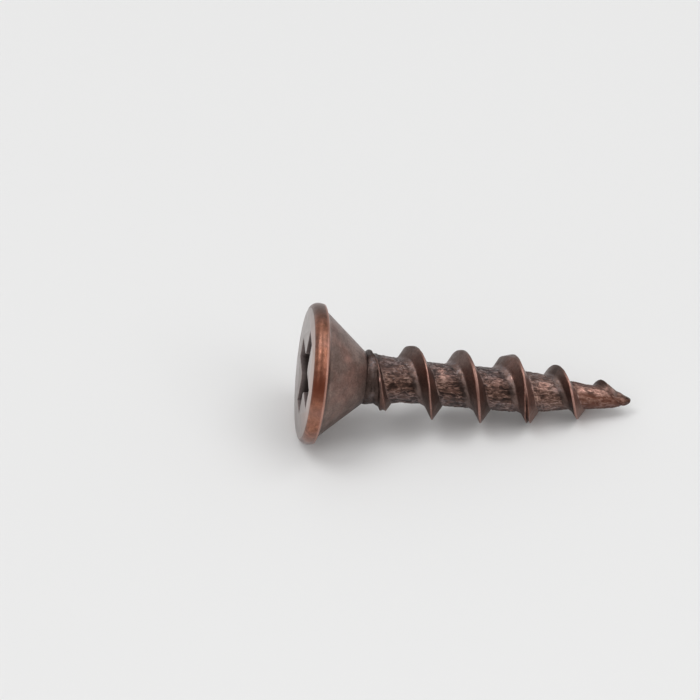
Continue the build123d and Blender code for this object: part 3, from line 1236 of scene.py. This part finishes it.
def start_material(name, **inputs):
    """A new material with its node tree and its shader, with inputs that are the same all over."""
    material = bpy.data.materials.new(name)
    material.use_nodes = True
    tree = material.node_tree
    tree.nodes.clear()
    output = add_node(tree, "ShaderNodeOutputMaterial", (1500, 0))
    shader = add_node(tree, "ShaderNodeBsdfPrincipled", (1200, 0), **inputs)
    tree.links.new(shader.outputs[0], output.inputs["Surface"])
    return material, tree, shader


def use_plating(tree, place, group, *values):
    """The mottled plating with values for its inputs, in their order."""
    node = add_node(tree, "ShaderNodeGroup", place)
    node.node_tree = group
    for socket, value in zip(node.inputs, values):
        socket.default_value = opaque(value) if socket.type == "RGBA" else value
    return node


def set_bump(tree, shader, height, strength, distance=FINE_BUMP):
    """Lead a height to the shader as bumps of a strength and a distance in metres."""
    bump = add_node(tree, "ShaderNodeBump", (1000, -400), Strength=strength, Distance=distance)
    tree.links.new(height, bump.inputs["Height"])
    tree.links.new(bump.outputs[0], shader.inputs["Normal"])


def tint(tree, place, amount, strength, colour, tone):
    """Mix a tone into a colour by a mark times a strength."""
    beside = (place[0] - 150, place[1] - 150)
    share = arithmetic(tree, beside, "MULTIPLY", amount, strength, clamp=True)
    return mix_colours(tree, place, share, colour, tone)


def set_surface(tree, shader, plating, colour, roughness, bump):
    """Lead a colour, a share of the plating's roughness and its bumps to the shader."""
    tree.links.new(colour, shader.inputs["Base Color"])
    rough = arithmetic(tree, (900, -100), "MULTIPLY", plating.outputs["Roughness"], roughness)
    tree.links.new(rough, shader.inputs["Roughness"])
    set_bump(tree, shader, plating.outputs["Height"], bump)


def rubbed_material(group, look):
    """Bright, rubbed copper of the rim, with painted shade where it is upmost and a painted dark reflection
    further round.
    """
    material, tree, shader = start_material("rubbed_copper", Metallic=1.0)
    plating = use_plating(tree, (0, 0), group, look.rubbed, look.patch, 0.6, 0.65, 1.4)
    # Darkened oxide for the painted shade on the rim.
    dull = tuple(0.62 * part for part in look.oxide)
    layers = (
        ("ruddy", 1.0, look.tarnish_and_dark_reflection), ("pale", 0.8, look.film_and_sheen), ("soot", 0.85, dull), ("worn", 0.6, look.worn)
    )
    colour = plating.outputs["Color"]
    for x, (name, strength, tone) in zip((300, 500, 700, 900), layers):
        colour = tint(tree, (x, 200), mark(tree, (x - 300, 400), name), strength, colour, tone)
    set_surface(tree, shader, plating, colour, 0.34, 0.35)
    return material


def face_material(group, look):
    """Greyish, finely scratched plating of the face, with painted light towards one edge."""
    material, tree, shader = start_material(
        "plated_face", Metallic=1.0, Coat_Weight=1.0, Coat_Roughness=0.35
    )
    plating = use_plating(tree, (0, 0), group, look.face, look.patch, 0.2, 0.3, 1.2)
    # Painted light: the pale mark lightens the face towards its edge at 143 degrees.
    lighter = tuple(2.9 * part for part in look.face)
    colour = tint(tree, (500, 200), mark(tree, (200, 300), "pale"), 1.0, plating.outputs["Color"], lighter)
    set_surface(tree, shader, plating, colour, 0.42, 0.3)
    return material


def oxide_material(group, look):
    """Dark oxide of the cone and shank, worn to copper on the crests and rolled strokes, with painted shade,
    sheen and highlights.
    """
    material, tree, shader = start_material("oiled_oxide", Metallic=1.0)
    plating = use_plating(tree, (-900, 300), group, look.oxide, look.patch, 0.5, 0.35, 1.0)
    worn, root, high, soot, ruddy, pale = (
        mark(tree, (-900, -150 * row), name) for row, name in enumerate(MARKS)
    )
    lines = plating.outputs["Strokes"]
    # The pale mark, a mottled film together with painted sheen and highlights, is broken up by the fine
    # strokes.
    crinkled = arithmetic(tree, (-800, 0), "MULTIPLY_ADD", lines, 1.1, 0.4)
    crinkled = arithmetic(tree, (-700, 0), "MULTIPLY", pale, crinkled)
    # The roots' ramp runs from painted shade in the hollows through the brown ground to the strokes, whose
    # light parts are painted highlights.
    strokes = add_node(tree, "ShaderNodeValToRGB", (-600, -200))
    ramp = strokes.color_ramp
    ramp.elements[0].color = opaque([1.8 * part for part in look.soot])
    ramp.elements[1].color = opaque(look.stroke)
    ramp.elements.new(0.4).color = opaque(look.ground)
    lit = arithmetic(tree, (-800, -200), "SUBTRACT", high, 0.13)
    lit = arithmetic(tree, (-700, -200), "MULTIPLY_ADD", lines, 0.5, lit)
    tree.links.new(lit, strokes.inputs[0])
    raised = arithmetic(tree, (700, -500), "MULTIPLY", lines, root)
    rolled = mix_colours(tree, (-300, -200), 0.45, strokes.outputs[0], plating.outputs["Color"], "SOFT_LIGHT")
    colour = tint(tree, (-350, 200), root, 1.0, plating.outputs["Color"], rolled)
    colour = tint(tree, (-150, 200), crinkled, 0.8, colour, look.film_and_sheen)
    colour = tint(tree, (0, 200), ruddy, 0.7, colour, look.tarnish_and_dark_reflection)
    colour = tint(tree, (200, 200), soot, 0.8, colour, look.soot)
    own = add_node(tree, "ShaderNodeTexCoord", (-600, -600)).outputs["Object"]
    chips = rescale(tree, (0, -600), speckle(tree, (-300, -600), own, 5200, 4, 0.6), 0.3, 0.5, 0.45, 1.0)
    between = arithmetic(tree, (100, -800), "SUBTRACT", root, raised)
    kept = arithmetic(tree, (250, -800), "MULTIPLY_ADD", between, -0.5, 1.0)
    chips = arithmetic(tree, (200, -600), "MULTIPLY", chips, kept)
    bare = arithmetic(tree, (300, -400), "MULTIPLY", worn, chips, clamp=True)
    colour = mix_colours(tree, (500, 0), bare, colour, look.worn)
    tree.links.new(colour, shader.inputs["Base Color"])
    roughness = arithmetic(tree, (700, -200), "MULTIPLY", plating.outputs["Roughness"], 0.42)
    roughness = arithmetic(tree, (900, -200), "MULTIPLY_ADD", worn, -0.08, roughness)
    roughness = arithmetic(tree, (1050, -200), "MULTIPLY_ADD", raised, -0.1, roughness)
    tree.links.new(roughness, shader.inputs["Roughness"])
    height = arithmetic(tree, (850, -500), "MULTIPLY_ADD", raised, 0.9, plating.outputs["Height"])
    set_bump(tree, shader, height, 0.45, COARSE_BUMP)
    return material


def recess_material(group, look):
    """Walls of the recess with painted shade that deepens with depth, less dark near its edge."""
    material, tree, shader = start_material("sooty_recess", Specular_IOR_Level=0.2)
    dusty = tuple(0.47 * grey + 0.21 * brown for grey, brown in zip(look.film_and_sheen, look.oxide))
    plating = use_plating(tree, (0, 0), group, dusty, look.face, 0.3, 0.4, 1.2)
    soot = mark(tree, (0, -300), "soot")
    # Painted shade: the walls darken with depth to near-black.
    cover = rescale(tree, (300, -300), soot, 0.02, 0.14, 0.05, 0.94)
    colour = mix_colours(tree, (600, 0), cover, plating.outputs["Color"], look.soot)
    set_surface(tree, shader, plating, colour, 0.5, 0.4)
    return material


# Operators


class SCREW_OT_model(Operator):
    """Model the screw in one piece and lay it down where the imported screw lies."""

    bl_idname = "screw.model"
    bl_label = "Model Screw"

    def execute(self, context):
        head, shank = context.scene.screw_head, context.scene.screw_shank
        piece = turned_head(head, shank)
        cut_recess(piece, head)
        tube = threaded_shank(head, shank)
        close_point(tube, millimetres(shank.length))
        join_shank(piece, tube, neck_start(head, shank))
        mark_surface(piece, head, shank)
        paint_regions(piece, head)
        lay_down(piece)
        work_on(piece)
        bpy.ops.object.shade_smooth_by_angle(angle=SMOOTH_ANGLE)
        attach(piece, "root")
        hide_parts("flat_head_screw")
        return {"FINISHED"}


class SCREW_OT_finish(Operator):
    """Give the screw its antique copper finish."""

    bl_idname = "screw.finish"
    bl_label = "Finish in Antique Copper"

    def execute(self, context):
        look = context.scene.screw_look
        piece = bpy.data.objects[PIECE]
        tilt = math.asin(recess_mount()["axis"][2])
        group = plating_group(tilt)
        makers = {
            OXIDE: oxide_material,
            RUBBED: rubbed_material,
            FACE: face_material,
            RECESS: recess_material,
        }
        for slot, maker in makers.items():
            piece.material_slots[slot].material = maker(group, look)
        return {"FINISHED"}


# Stage: sizes in metres

FLOOR_SIZE = 2.4
SOFTBOX_SIZE = 0.4
CAMERA_PLACE = (-0.015602, -0.167285, 0.133577)
CAMERA_TARGET = (-0.006062, 0.007263, 0.0)
CAMERA_ROLL = math.radians(-1.073)
CAMERA_LENS, CAMERA_SENSOR = 191.09, 36  # millimetres
# Each softbox has the name of the setting that holds its power
LAMPS = (
    ("left", (-0.296, 0.0, 0.634)),
    ("right", (0.296, 0.0, 0.634)),
    ("back", (0.0, 0.296, 0.634)),
    ("front_left", (-0.379, -0.379, 0.45)),
    ("front_right", (0.379, -0.379, 0.45)),
)


def aim(thing, target, roll=0.0):
    """Turn a lamp or camera towards a point, and roll it about its line of sight."""
    direction = Vector(target) - thing.location
    turned = direction.to_track_quat("-Z", "Y") @ Quaternion((0, 0, 1), roll)
    thing.rotation_euler = turned.to_euler()


def add_softbox(name, place, size, power):
    """A round soft lamp that is aimed at the origin."""
    object_mode()
    bpy.ops.object.select_all(action="DESELECT")
    bpy.ops.object.light_add(type="AREA", location=place)
    lamp = bpy.context.object
    lamp.name = name
    lamp.data.shape = "DISK"
    lamp.data.size = size
    lamp.data.energy = power
    aim(lamp, (0, 0, 0))


def room_world(look):
    """A pale room that is darker towards its walls than overhead."""
    world = bpy.data.worlds.new("room")
    bpy.context.scene.world = world
    world.use_nodes = True
    tree = world.node_tree
    tree.nodes.clear()
    coordinates = add_node(tree, "ShaderNodeTexCoord", (-800, 0))
    split = add_node(tree, "ShaderNodeSeparateXYZ", (-600, 0))
    tree.links.new(coordinates.outputs["Generated"], split.inputs[0])
    rise = rescale(tree, (-400, 0), split.outputs["Z"], 0.05, 0.55, look.horizon, look.ceiling)
    background = add_node(tree, "ShaderNodeBackground", (0, 0), Color=(1, 1, 1, 1))
    tree.links.new(rise, background.inputs["Strength"])
    output = add_node(tree, "ShaderNodeOutputWorld", (200, 0))
    tree.links.new(background.outputs[0], output.inputs["Surface"])


def floor_material(look):
    """Pale matt paper."""
    material, tree, shader = start_material("pale_paper", Roughness=0.9, Specular_IOR_Level=0.2)
    coordinates = add_node(tree, "ShaderNodeTexCoord", (0, 0))
    cloud = speckle(tree, (200, 0), coordinates.outputs["Object"], 12, 2, 0.5)
    shade = rescale(tree, (400, 0), cloud, 0.3, 0.7, 0.99, 1.0)
    tree.links.new(times_grey(tree, (800, 0), look.floor, shade), shader.inputs["Base Color"])
    return material


class SCREW_OT_stage(Operator):
    """Set the pale floor, the soft lamps and the camera."""

    bl_idname = "screw.stage"
    bl_label = "Set Stage"

    def execute(self, context):
        look = context.scene.screw_stage
        object_mode()
        bpy.ops.object.select_all(action="DESELECT")
        bpy.ops.mesh.primitive_plane_add(size=FLOOR_SIZE, location=(0, 0, 0))
        floor = context.object
        floor.name = "floor"
        floor.data.materials.append(floor_material(look))
        room_world(look)
        for name, place in LAMPS:
            add_softbox(name + "_softbox", place, SOFTBOX_SIZE, getattr(look, name))
        context.scene.view_settings.view_transform = "Standard"
        bpy.ops.object.camera_add(location=CAMERA_PLACE)
        camera = context.object
        camera.data.lens = CAMERA_LENS
        camera.data.sensor_width = CAMERA_SENSOR
        camera.data.clip_start, camera.data.clip_end = 0.01, 10
        aim(camera, CAMERA_TARGET, CAMERA_ROLL)
        context.scene.camera = camera
        return {"FINISHED"}


class SCREW_PT_sidebar(Panel):
    """The steps and sizes of the screw."""

    bl_label = "Flat Head Screw"
    bl_idname = "SCREW_PT_sidebar"
    bl_space_type = "VIEW_3D"
    bl_region_type = "UI"
    bl_category = "Screw"

    def draw(self, context):
        layout = self.layout
        for step in (SCREW_OT_model, SCREW_OT_finish, SCREW_OT_stage):
            layout.operator(step.bl_idname)
        for name in ("screw_head", "screw_shank", "screw_look", "screw_stage"):
            settings = getattr(context.scene, name)
            box = layout.box()
            for setting in settings.__annotations__:
                box.prop(settings, setting)


CLASSES = (
    HeadSizes,
    ShankSizes,
    CopperLook,
    StageLook,
    SCREW_OT_model,
    SCREW_OT_finish,
    SCREW_OT_stage,
    SCREW_PT_sidebar,
)
SETTINGS = (
    ("screw_head", HeadSizes),
    ("screw_shank", ShankSizes),
    ("screw_look", CopperLook),
    ("screw_stage", StageLook),
)


def register():
    """Register the classes and hang the settings on the scene."""
    for item in CLASSES:
        bpy.utils.register_class(item)
    for name, group in SETTINGS:
        setattr(bpy.types.Scene, name, PointerProperty(type=group))


def unregister():
    """Take everything away again that register adds."""
    for name, _ in SETTINGS:
        delattr(bpy.types.Scene, name)
    for item in reversed(CLASSES):
        bpy.utils.unregister_class(item)


def main():
    """Build the scene by its operators."""
    register()
    bpy.ops.screw.model()
    bpy.ops.screw.finish()
    bpy.ops.screw.stage()


if __name__ == "__main__":
    main()
